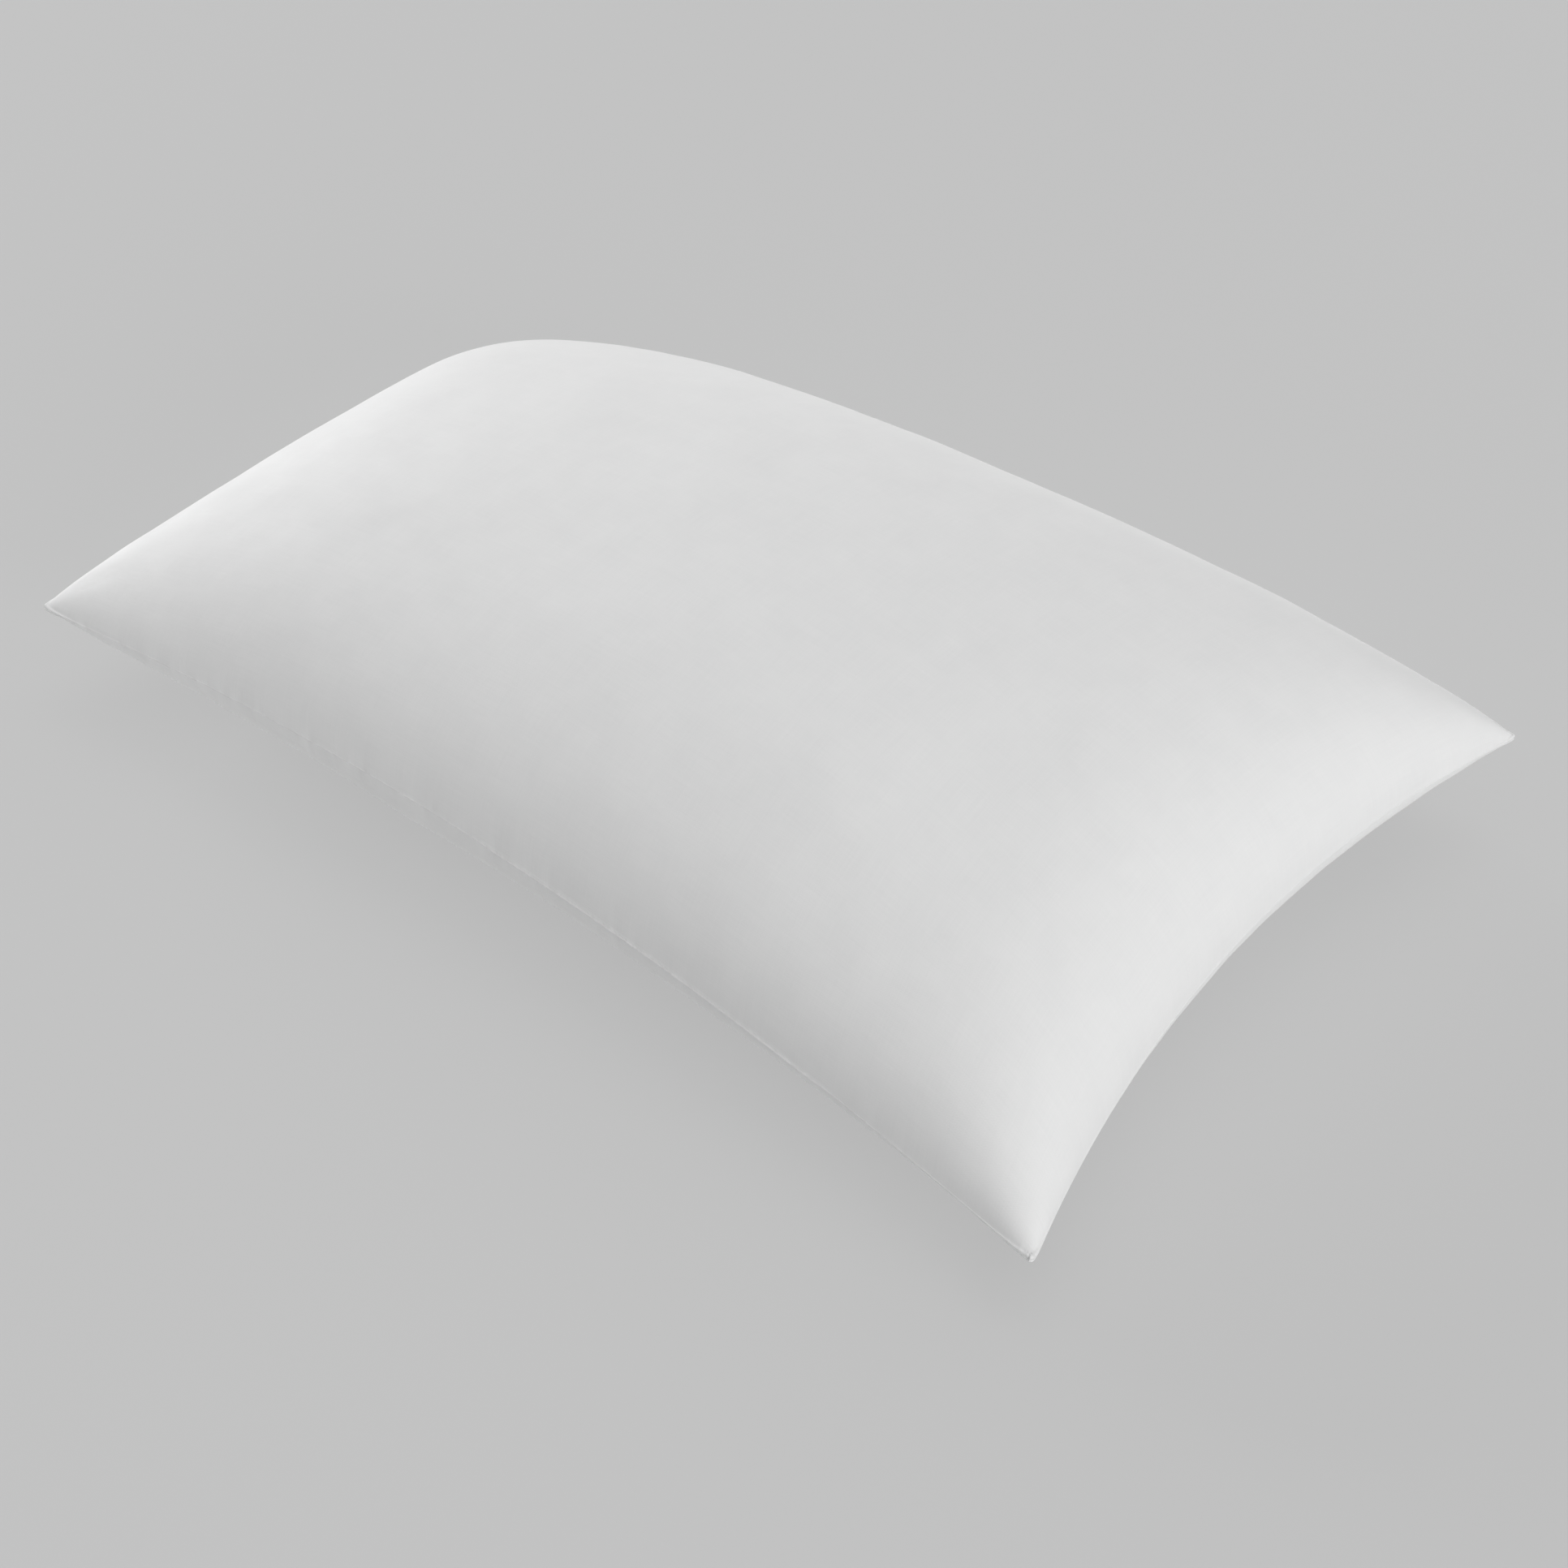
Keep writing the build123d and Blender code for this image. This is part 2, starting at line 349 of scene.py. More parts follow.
def skinNormals(grid, flip):
    across = np.gradient(grid, axis=0)
    along = np.gradient(grid, axis=1)
    normals = np.cross(across, along)
    normals /= np.maximum(np.linalg.norm(normals, axis=-1, keepdims=True), 1e-12)
    return -normals if flip else normals


def arcFrom(grid, axis):
    # running length over the skin from the first row or column
    steps = np.linalg.norm(np.diff(grid, axis=axis), axis=-1)
    return np.insert(np.cumsum(steps, axis=axis), 0, 0, axis=axis)


def pucker(along, away, shift):
    s = surfaceSet
    wave = sum(share * np.sin(2 * math.pi * along / length + phase + shift)
               for length, share, phase in s["puckerWaves"])
    fade = np.exp(-away / s["puckerReach"]) * (1 - np.exp(-away / s["puckerRise"]))
    return s["puckerHeight"] * wave * fade


def fleshOut(grid, flip):
    lengthwise, crosswise = arcFrom(grid, 0), arcFrom(grid, 1)
    height = pucker(lengthwise, crosswise, 0.0) + pucker(lengthwise, crosswise[:, -1:] - crosswise, 2.0)
    height += pucker(crosswise, lengthwise, 4.0) + pucker(crosswise, lengthwise[-1:] - lengthwise, 5.5)
    inside = np.minimum(domeAt(tGrid, sGrid) * surfaceSet["lumpRise"], 1)
    for size, scale in surfaceSet["lumps"]:
        cloud = [noise.noise(Vector(point) * scale) for point in grid.reshape(-1, 3).tolist()]
        height += size * inside * np.array(cloud).reshape(height.shape)
    fleshed = grid + skinNormals(grid, flip) * (height * offBed(grid[..., 2]))[..., None]
    fleshed[..., 2] = np.maximum(fleshed[..., 2], 0)
    return fleshed


# a panel's edge: a slim lip round the seam, and the allowance turned in behind it
seamSet = {
    "flatCut": (0.75, 0.50), # both panels were cut to this size, inside their allowances
    "cloth": 0.00028,        # thickness of the cloth
    "lipHeight": 0.0005,     # of one panel: nearly two layers of cloth
    "lipWidth": 0.0003,
    "tipHeight": 0.0017,     # what the lip gains at the tips, where the allowances bunch up
    "tipWidth": 0.0014,
    "tipReach": 22,          # higher is nearer to the tip
    "closingWidth": 0.0012,  # of the lip where the pillow was sewn up last
    "closingFrom": 0.47,     # along the near edge, from its left tip
    "closingTo": 0.82,
    "closingTaper": 0.015,
    "closingSunk": 0.7,      # of a thread's radius, into the lip
    "lipProfile": ((0.55, 0.95), (0.9, 0.72), (1.0, 0.45), (0.93, 0.15), (0.6, 0.05)),   # outwards, up
    "allowance": (0.0025, 0.0055, 0.0080),
}
borderUV = np.stack([eased(tGrid), eased(sGrid)], -1).reshape(-1, 2)[borderIndex(*tGrid.shape)]


def seamRing(inset):
    # the seam surface this far in from the seam, all the way round
    u = borderUV[:, 0] * (1 - inset / halfLength)
    v = borderUV[:, 1] * (1 - inset / halfWidth)
    return seamPoint(u, v)


def outwardOf(ring):
    ahead = np.roll(ring, -1, axis=0) - np.roll(ring, 1, axis=0)
    outward = np.stack([ahead[:, 1], -ahead[:, 0], np.zeros(len(ring))], -1)
    return outward / np.linalg.norm(outward, axis=-1, keepdims=True)


def closingShare(ring):
    # 1 on the stretch that was sewn up last, easing to 0 at its ends
    start, end = (seamPoint(np.array(2 * seamSet[limit] - 1), np.array(-1.0))[0]
                  for limit in ("closingFrom", "closingTo"))
    taper = seamSet["closingTaper"]
    onNear = borderUV[:, 1] < -0.9999
    return smooth((ring[:, 0] - start) / taper) * smooth((end - ring[:, 0]) / taper) * onNear


def panelPiece(name, skin, side, material):
    # side is 1 for the upper panel and -1 for the lower one
    s = seamSet
    flat = skin.copy()
    u, v = eased(tGrid), eased(sGrid)
    seam = seamPoint(u, v)[..., 2]
    layers = s["lipHeight"] + s["tipHeight"] * tipShare(u, v, s["tipReach"])
    rise = np.maximum(side * (flat[..., 2] - seam), 0)
    onBed = flat[..., 2] <= 1e-6
    flat[..., 2] = np.where(onBed, 0, seam + side * (rise + layers * np.exp(-rise / layers)))
    border = borderIndex(*tGrid.shape)
    ring = seamRing(0.0)
    outward = outwardOf(ring)
    width = s["lipWidth"] + (s["closingWidth"] - s["lipWidth"]) * closingShare(ring)
    width += s["tipWidth"] * tipShare(*borderUV.T, s["tipReach"])
    up = side * layers.reshape(-1)[border][:, None] * (0, 0, 1)
    rings = [ring + outward * width[:, None] * out + up * high for out, high in s["lipProfile"]]
    rings += [seamRing(inset) + up * s["lipProfile"][-1][1] for inset in s["allowance"]]
    points = np.concatenate([flat.reshape(-1, 3)] + rings)
    quads = [gridQuads(*tGrid.shape, side < 0)]
    first = flat[..., 0].size + np.arange(len(border))
    loops = [border] + [first + len(border) * k for k in range(len(rings))]
    for inner, outer in zip(loops[:-1], loops[1:]):
        strip = np.stack([inner, outer, np.roll(outer, -1), np.roll(inner, -1)], -1)
        quads.append(strip if side > 0 else strip[:, ::-1])
    piece = addPiece(name, points, np.concatenate(quads), material)
    lengthwise = arcFrom(flat, 0)[:, formSet["rows"] // 2]
    crosswise = arcFrom(flat, 1)[formSet["columns"] // 2]
    print("%s made: cloth %.3f by %.3f m" % (name, lengthwise[-1], crosswise[-1]))
    flatLength, flatWidth = s["flatCut"]
    lengthwise *= flatLength / lengthwise[-1]
    crosswise *= flatWidth / crosswise[-1]
    cloth = np.stack(np.meshgrid(lengthwise, crosswise, indexing="ij"), -1).reshape(-1, 2)
    cloth = np.concatenate([cloth] + [cloth[border]] * len(rings))
    layer = piece.data.uv_layers.new(name="clothPlane")
    corners = np.empty(len(piece.data.loops), dtype=np.int32)
    piece.data.loops.foreach_get("vertex_index", corners)
    layer.data.foreach_set("uv", cloth[corners].astype(np.float32).ravel())
    finer = piece.modifiers.new("finer", "SUBSURF")
    finer.levels = finer.render_levels = 1
    thick = piece.modifiers.new("thick", "SOLIDIFY")
    thick.thickness = s["cloth"]
    thick.offset = -1
    return piece


# stitches: one small thread shape, repeated along a row
stitchSet = {
    "radius": 0.00011,
    "lockstitch": {"pitch": 0.0031, "length": 0.0028, "height": 0.00025, "jitter": 0.05, "inset": 0.003},
    "closing": {"pitch": 0.0026, "length": 0.0021, "height": 0.0003, "jitter": 0.12},
    "overlock": {"pitch": 0.0024, "length": 0.0026, "height": 0.00115, "jitter": 0.1, "inset": 0.0072},
    "sides": 5,
    "archSteps": 5,
    "ringSteps": 10,
}


def addNode(tree, kind, **settings):
    node = tree.nodes.new(kind)
    for name, value in settings.items():
        setattr(node, name, value)
    return node


def plug(tree, pairs):
    # links and plain values, given as (value or output socket, input socket)
    for source, target in pairs:
        if isinstance(source, bpy.types.NodeSocket):
            tree.links.new(source, target)
        else:
            target.default_value = source


def mathNode(tree, operation, a, b=0.0, c=0.0):
    node = addNode(tree, "ShaderNodeMath", operation=operation)
    plug(tree, [(a, node.inputs[0]), (b, node.inputs[1]), (c, node.inputs[2])])
    return node.outputs[0]


def makeStitchTree():
    tree = bpy.data.node_groups.new("stitchRow", "GeometryNodeTree")
    tree.interface.new_socket("Row", in_out="INPUT", socket_type="NodeSocketGeometry")
    for name in ("Pitch", "Length", "Height", "Thread Radius", "Jitter"):
        tree.interface.new_socket(name, in_out="INPUT", socket_type="NodeSocketFloat")
    tree.interface.new_socket("Seed", in_out="INPUT", socket_type="NodeSocketInt")
    tree.interface.new_socket("Wraps Edge", in_out="INPUT", socket_type="NodeSocketBool")
    tree.interface.new_socket("Thread", in_out="INPUT", socket_type="NodeSocketMaterial")
    tree.interface.new_socket("Stitches", in_out="OUTPUT", socket_type="NodeSocketGeometry")
    given = addNode(tree, "NodeGroupInput").outputs
    row = addNode(tree, "GeometryNodeResampleCurve", mode="LENGTH")
    plug(tree, [(given["Row"], row.inputs["Curve"]), (given["Pitch"], row.inputs["Length"])])
    # a lockstitch is a low arch along the row; an overlock stitch is a flat ring across it
    start, top, end = (addNode(tree, "ShaderNodeCombineXYZ") for _ in range(3))
    plug(tree, [(mathNode(tree, "MULTIPLY", given["Length"], -0.5), start.inputs["X"]),
                (given["Height"], top.inputs["Z"]),
                (mathNode(tree, "MULTIPLY", given["Length"], 0.5), end.inputs["X"])])
    arch = addNode(tree, "GeometryNodeCurveQuadraticBezier")
    arch.inputs["Resolution"].default_value = stitchSet["archSteps"]
    plug(tree, [(start.outputs[0], arch.inputs["Start"]), (top.outputs[0], arch.inputs["Middle"]),
                (end.outputs[0], arch.inputs["End"])])
    ring = addNode(tree, "GeometryNodeCurvePrimitiveCircle")
    ring.inputs["Resolution"].default_value = stitchSet["ringSteps"]
    ring.inputs["Radius"].default_value = 0.5
    ringSize = addNode(tree, "ShaderNodeCombineXYZ")
    plug(tree, [(given["Height"], ringSize.inputs["X"]), (given["Length"], ringSize.inputs["Y"]),
                (1.0, ringSize.inputs["Z"])])
    sized = addNode(tree, "GeometryNodeTransform")
    turned = addNode(tree, "GeometryNodeTransform")
    turned.inputs["Rotation"].default_value = (0, math.pi / 2, 0)
    plug(tree, [(ring.outputs["Curve"], sized.inputs["Geometry"]),
                (ringSize.outputs[0], sized.inputs["Scale"]),
                (sized.outputs["Geometry"], turned.inputs["Geometry"])])
    choose = addNode(tree, "GeometryNodeSwitch", input_type="GEOMETRY")
    plug(tree, [(given["Wraps Edge"], choose.inputs["Switch"]),
                (arch.outputs["Curve"], choose.inputs["False"]),
                (turned.outputs["Geometry"], choose.inputs["True"])])
    threadShape = addNode(tree, "GeometryNodeCurvePrimitiveCircle")
    threadShape.inputs["Resolution"].default_value = stitchSet["sides"]
    plug(tree, [(given["Thread Radius"], threadShape.inputs["Radius"])])
    tube = addNode(tree, "GeometryNodeCurveToMesh")
    tube.inputs["Fill Caps"].default_value = True
    plug(tree, [(choose.outputs[0], tube.inputs["Curve"]),
                (threadShape.outputs["Curve"], tube.inputs["Profile Curve"])])
    tangent = addNode(tree, "GeometryNodeInputTangent")
    ahead = addNode(tree, "FunctionNodeAlignRotationToVector", axis="X")
    upright = addNode(tree, "FunctionNodeAlignRotationToVector", axis="Z", pivot_axis="X")
    upright.inputs["Vector"].default_value = (0, 0, 1)
    plug(tree, [(tangent.outputs[0], ahead.inputs["Vector"]),
                (ahead.outputs[0], upright.inputs["Rotation"])])
    least = mathNode(tree, "MULTIPLY", given["Jitter"], -1.0)
    sway = addNode(tree, "FunctionNodeRandomValue", data_type="FLOAT")
    plug(tree, [(least, sway.inputs[2]), (given["Jitter"], sway.inputs[3]),
                (given["Seed"], sway.inputs["Seed"])])
    swayed = addNode(tree, "ShaderNodeCombineXYZ")
    plug(tree, [(sway.outputs[1], swayed.inputs["Z"])])
    asRotation = addNode(tree, "FunctionNodeEulerToRotation")
    final = addNode(tree, "FunctionNodeRotateRotation", rotation_space="LOCAL")
    plug(tree, [(swayed.outputs[0], asRotation.inputs[0]),
                (upright.outputs[0], final.inputs["Rotation"]),
                (asRotation.outputs[0], final.inputs["Rotate By"])])
    copies = addNode(tree, "GeometryNodeInstanceOnPoints")
    plug(tree, [(row.outputs["Curve"], copies.inputs["Points"]),
                (tube.outputs["Mesh"], copies.inputs["Instance"]),
                (final.outputs[0], copies.inputs["Rotation"])])
    real = addNode(tree, "GeometryNodeRealizeInstances")
    painted = addNode(tree, "GeometryNodeSetMaterial")
    done = addNode(tree, "NodeGroupOutput")
    plug(tree, [(copies.outputs[0], real.inputs[0]), (real.outputs[0], painted.inputs["Geometry"]),
                (given["Thread"], painted.inputs["Material"]),
                (painted.outputs[0], done.inputs["Stitches"])])
    return tree


def stitchPiece(name, rows, tree, look, material, seed, wraps=False):
    curve = bpy.data.curves.new(name + "Row", "CURVE")
    curve.dimensions = "3D"
    for points, closed in rows:
        spline = curve.splines.new("POLY")
        spline.points.add(len(points) - 1)
        spline.points.foreach_set("co", np.insert(points, 3, 1, axis=1).astype(np.float32).ravel())
        spline.use_cyclic_u = closed
    holder = bpy.data.objects.new(name + "Row", curve)
    bpy.context.scene.collection.objects.link(holder)
    sewing = holder.modifiers.new("sewing", "NODES")
    sewing.node_group = tree
    values = {"Pitch": look["pitch"], "Length": look["length"], "Height": look["height"],
              "Thread Radius": stitchSet["radius"], "Jitter": look["jitter"], "Seed": seed,
              "Wraps Edge": wraps, "Thread": material}
    for socket in tree.interface.items_tree:
        if socket.item_type == "SOCKET" and socket.in_out == "INPUT" and socket.name in values:
            sewing[socket.identifier] = values[socket.name]
    bpy.context.view_layer.update()
    depsgraph = bpy.context.evaluated_depsgraph_get()
    mesh = bpy.data.meshes.new_from_object(holder.evaluated_get(depsgraph), depsgraph=depsgraph)
    bpy.data.objects.remove(holder)
    mesh.name = name
    mesh.materials.clear()                         # the row had an empty slot of its own
    mesh.materials.append(material)
    mesh.polygons.foreach_set("material_index", np.zeros(len(mesh.polygons), dtype=np.int32))
    mesh.shade_smooth()
    piece = bpy.data.objects.new(name, mesh)
    bpy.context.scene.collection.objects.link(piece)
    print(name, "sewn:", len(mesh.polygons), "faces")
    return piece


# a group has named inputs and outputs and puts out only heights and tones;
# every material gives it its own sizes
def newGroup(name, inputs, outputs):
    group = bpy.data.node_groups.new(name, "ShaderNodeTree")
    for label, kind in inputs:
        group.interface.new_socket(label, in_out="INPUT", socket_type="NodeSocket" + kind)
    for label in outputs:
        group.interface.new_socket(label, in_out="OUTPUT", socket_type="NodeSocketFloat")
    return group, addNode(group, "NodeGroupInput").outputs, addNode(group, "NodeGroupOutput").inputs


weaveSet = {"crossShare": 0.35, "slubSide": 0.5, "slubDetail": 1.0}
fibreSet = {"clumpShare": 0.6, "clumpDetail": 3.0, "strandDetail": 4.0, "stretch": (0.12, 1.0, 1.0)}
gatherDetail = 2.0


def makeWeave():
    # plain weave on cloth coordinates in metres: threads pass over and under, and some are thicker
    group, given, out = newGroup(
        "plainWeave", [("Cloth", "Vector"), ("Pitch", "Float"), ("Slub Length", "Float")],
        ["Height", "Slubs"])
    parts = addNode(group, "ShaderNodeSeparateXYZ")
    plug(group, [(given["Cloth"], parts.inputs[0])])
    waves = []
    for axis in (0, 1):
        threads = mathNode(group, "DIVIDE", parts.outputs[axis], given["Pitch"])
        waves.append(mathNode(group, "SINE", mathNode(group, "MULTIPLY", threads, math.pi)))
    over = mathNode(group, "MULTIPLY", waves[0], waves[1])
    slubs = []
    for long, short in ((0, 1), (1, 0)):
        stretched = addNode(group, "ShaderNodeCombineXYZ")
        run = mathNode(group, "DIVIDE", parts.outputs[long], given["Slub Length"])
        side = mathNode(group, "DIVIDE", parts.outputs[short], given["Pitch"])
        side = mathNode(group, "MULTIPLY", side, weaveSet["slubSide"])
        plug(group, [(run, stretched.inputs[long]), (side, stretched.inputs[short])])
        cloud = addNode(group, "ShaderNodeTexNoise", noise_dimensions="2D")
        plug(group, [(stretched.outputs[0], cloud.inputs["Vector"]), (1.0, cloud.inputs["Scale"]),
                     (weaveSet["slubDetail"], cloud.inputs["Detail"])])
        slubs.append(cloud.outputs[0])
    both = mathNode(group, "MULTIPLY", mathNode(group, "ADD", slubs[0], slubs[1]), 0.5)
    height = mathNode(group, "MULTIPLY_ADD", over, weaveSet["crossShare"], both)
    plug(group, [(height, out["Height"]), (both, out["Slubs"])])
    return group


def makeGathers():
    # fine gathers that run away from a seam, on cloth coordinates in metres
    group, given, out = newGroup(
        "seamGathers",
        [("Cloth", "Vector"), ("Length", "Float"), ("Width", "Float"), ("Spacing", "Float"),
         ("Reach", "Float"), ("Drift", "Float")],
        ["Height"])
    parts = addNode(group, "ShaderNodeSeparateXYZ")
    plug(group, [(given["Cloth"], parts.inputs[0])])
    heights = []
    for across, along, size in ((1, 0, "Width"), (0, 1, "Length")):
        otherSide = mathNode(group, "SUBTRACT", given[size], parts.outputs[across])
        away = mathNode(group, "MINIMUM", parts.outputs[across], otherSide)
        back = mathNode(group, "MULTIPLY", away, -1.0)
        fade = mathNode(group, "EXPONENT", mathNode(group, "DIVIDE", back, given["Reach"]))
        place = addNode(group, "ShaderNodeCombineXYZ")
        waves = mathNode(group, "DIVIDE", parts.outputs[along], given["Spacing"])
        drift = mathNode(group, "MULTIPLY", parts.outputs[across], given["Drift"])
        plug(group, [(waves, place.inputs[0]), (drift, place.inputs[1])])
        ripple = addNode(group, "ShaderNodeTexNoise", noise_dimensions="2D")
        plug(group, [(place.outputs[0], ripple.inputs["Vector"]), (1.0, ripple.inputs["Scale"]),
                     (gatherDetail, ripple.inputs["Detail"])])
        heights.append(mathNode(group, "MULTIPLY", ripple.outputs[0], fade))
    plug(group, [(mathNode(group, "ADD", heights[0], heights[1]), out["Height"])])
    return group


def makeFibre():
    # matted fibres: stretched noise, bent by a coarser noise
    group, given, out = newGroup(
        "mattedFibre",
        [("Place", "Vector"), ("Strands", "Float"), ("Clumps", "Float"), ("Bend", "Float")],
        ["Height", "Tone"])
    clump = addNode(group, "ShaderNodeTexNoise")
    plug(group, [(given["Place"], clump.inputs["Vector"]), (given["Clumps"], clump.inputs["Scale"]),
                 (fibreSet["clumpDetail"], clump.inputs["Detail"])])
    bent = addNode(group, "ShaderNodeVectorMath", operation="SCALE")
    plug(group, [(clump.outputs["Color"], bent.inputs[0]), (given["Bend"], bent.inputs["Scale"])])
    shifted = addNode(group, "ShaderNodeVectorMath", operation="ADD")
    plug(group, [(given["Place"], shifted.inputs[0]), (bent.outputs[0], shifted.inputs[1])])
    long = addNode(group, "ShaderNodeVectorMath", operation="MULTIPLY")
    plug(group, [(shifted.outputs[0], long.inputs[0])])
    long.inputs[1].default_value = fibreSet["stretch"]
    strand = addNode(group, "ShaderNodeTexNoise")
    plug(group, [(long.outputs[0], strand.inputs["Vector"]), (given["Strands"], strand.inputs["Scale"]),
                 (fibreSet["strandDetail"], strand.inputs["Detail"])])
    share = fibreSet["clumpShare"]
    height = mathNode(group, "MULTIPLY_ADD", clump.outputs[0], share, strand.outputs[0])
    plug(group, [(height, out["Height"]), (clump.outputs[0], out["Tone"])])
    return group


weaveGroup, gathersGroup, fibreGroup = makeWeave(), makeGathers(), makeFibre()


def startMaterial(name, look):
    material = bpy.data.materials.new(name)
    material.use_nodes = True
    tree = material.node_tree
    shader = tree.nodes["Principled BSDF"]
    for socket, value in look["shader"].items():
        shader.inputs[socket].default_value = value
    return material, tree, shader


def useGroup(tree, group, vector, values):
    node = addNode(tree, "ShaderNodeGroup", node_tree=group)
    plug(tree, [(vector, node.inputs[0])])
    plug(tree, [(value, node.inputs[name]) for name, value in values.items()])
    return node.outputs


def tint(tree, shader, tone, look):
    # the tone runs from the darker to the lighter colour, and from the duller to the smoother finish
    mix = addNode(tree, "ShaderNodeMix", data_type="RGBA")
    plug(tree, [(tone, mix.inputs["Factor"]), (look["darker"], mix.inputs[6]),
                (look["lighter"], mix.inputs[7]), (mix.outputs[2], shader.inputs["Base Color"])])
    rough = addNode(tree, "ShaderNodeMapRange")
    low, high = look["roughness"]
    plug(tree, [(tone, rough.inputs["Value"]), (high, rough.inputs["To Min"]),
                (low, rough.inputs["To Max"]), (rough.outputs["Result"], shader.inputs["Roughness"])])


def emboss(tree, shader, layers):
    # bumps on bumps: each layer is a height, its depth in metres and its strength
    previous = None
    for height, depth, strength in layers:
        bump = addNode(tree, "ShaderNodeBump")
        plug(tree, [(height, bump.inputs["Height"]), (depth, bump.inputs["Distance"]),
                    (strength, bump.inputs["Strength"])])
        if previous:
            tree.links.new(previous, bump.inputs["Normal"])
        previous = bump.outputs[0]
    tree.links.new(previous, shader.inputs["Normal"])


coverLook = {
    "shader": {"Specular IOR Level": 0.25, "Sheen Weight": 0.25, "Sheen Roughness": 0.5},
    "darker": (0.835, 0.837, 0.838, 1),
    "lighter": (0.882, 0.882, 0.880, 1),
    "roughness": (0.62, 0.78),
    "filling": {"Strands": 160.0, "Clumps": 42.0, "Bend": 0.01},     # felt through the thin cloth
    "contrast": 2.0,
    "weave": {"Pitch": 0.00045, "Slub Length": 0.03},
    "gathers": {"Spacing": 0.011, "Reach": 0.011, "Drift": 14.0},
    "bumps": {"filling": (0.0016, 0.3), "gathers": (0.0016, 0.6), "weave": (0.00008, 0.35)},
}


def makeCoverMaterial(look):
    material, tree, shader = startMaterial("coverPercale", look)
    cloth = addNode(tree, "ShaderNodeUVMap", uv_map="clothPlane").outputs[0]
    weave = useGroup(tree, weaveGroup, cloth, look["weave"])
    length, width = seamSet["flatCut"]
    gathers = useGroup(tree, gathersGroup, cloth, look["gathers"] | {"Length": length, "Width": width})
    place = addNode(tree, "ShaderNodeTexCoord").outputs["Object"]
    filling = useGroup(tree, fibreGroup, place, look["filling"])
    both = mathNode(tree, "MULTIPLY", mathNode(tree, "ADD", weave["Slubs"], filling["Tone"]), 0.5)
    tone = mathNode(tree, "MULTIPLY_ADD", both, look["contrast"], 0.5 - look["contrast"] / 2)
    tint(tree, shader, tone, look)
    bumps = look["bumps"]
    emboss(tree, shader, [(filling["Tone"], *bumps["filling"]), (gathers["Height"], *bumps["gathers"]),
                          (weave["Height"], *bumps["weave"])])
    return material


fibreLooks = {
    "cardedBatt": {
        "shader": {"Specular IOR Level": 0.15, "Sheen Weight": 0.4},
        "darker": (0.80, 0.80, 0.79, 1), "lighter": (0.93, 0.93, 0.92, 1), "roughness": (0.85, 0.97),
        "fibre": {"Strands": 900.0, "Clumps": 38.0, "Bend": 0.02}, "bumps": (0.0012, 0.7),
    },
    "blownFibre": {
        "shader": {"Specular IOR Level": 0.15, "Sheen Weight": 0.5},
        "darker": (0.76, 0.76, 0.75, 1), "lighter": (0.95, 0.95, 0.94, 1), "roughness": (0.88, 1.0),
        "fibre": {"Strands": 420.0, "Clumps": 55.0, "Bend": 0.05}, "bumps": (0.004, 0.9),
    },
    "spunThread": {
        "shader": {"Specular IOR Level": 0.3, "Sheen Weight": 0.2},
        "darker": (0.80, 0.80, 0.79, 1), "lighter": (0.90, 0.90, 0.89, 1), "roughness": (0.5, 0.7),
        "fibre": {"Strands": 9000.0, "Clumps": 900.0, "Bend": 0.0006}, "bumps": (0.00004, 0.6),
    },
}


def makeFibreMaterial(name, look):
    material, tree, shader = startMaterial(name, look)
    place = addNode(tree, "ShaderNodeTexCoord").outputs["Object"]
    fibre = useGroup(tree, fibreGroup, place, look["fibre"])
    tint(tree, shader, fibre["Tone"], look)
    emboss(tree, shader, [(fibre["Height"], *look["bumps"])])
    return material


labelLook = {
    "shader": {"Specular IOR Level": 0.5, "Sheen Weight": 0.1},
    "darker": (0.84, 0.84, 0.82, 1), "lighter": (0.93, 0.93, 0.91, 1), "roughness": (0.32, 0.45),
    "weave": {"Pitch": 0.0003, "Slub Length": 0.012},
    "ribPitch": 0.0007,
    "bumps": {"ribs": (0.00003, 0.4), "weave": (0.00003, 0.3)},
}


def makeLabelMaterial(look):
    material, tree, shader = startMaterial("labelSatin", look)
    cloth = addNode(tree, "ShaderNodeUVMap", uv_map="clothPlane").outputs[0]
    weave = useGroup(tree, weaveGroup, cloth, look["weave"])
    parts = addNode(tree, "ShaderNodeSeparateXYZ")
    plug(tree, [(cloth, parts.inputs[0])])
    turns = mathNode(tree, "MULTIPLY", parts.outputs[1], 2 * math.pi / look["ribPitch"])
    ribs = mathNode(tree, "SINE", turns)
    tint(tree, shader, weave["Slubs"], look)
    emboss(tree, shader, [(ribs, *look["bumps"]["ribs"]), (weave["Height"], *look["bumps"]["weave"])])
    return material


upperSkin, lowerSkin = fleshOut(upperSkin, False), fleshOut(lowerSkin, True)
coverPercale = makeCoverMaterial(coverLook)
for name, node, skin, side in (("upperCoverPanel", "upper_cover_panel", upperSkin, 1),
                               ("lowerCoverPanel", "lower_cover_panel", lowerSkin, -1)):
    piece = panelPiece(name, skin, side, coverPercale)
    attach(piece, "pillow")
    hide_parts(node)

stitchTree = makeStitchTree()
threadMaterial = makeFibreMaterial("spunThread", fibreLooks["spunThread"])
# height of one seam allowance over the seam
layerTop = seamSet["lipHeight"] * seamSet["lipProfile"][-1][1] + seamSet["cloth"]


def liftedRing(inset, height):
    return seamRing(inset) + np.array([0, 0, height])


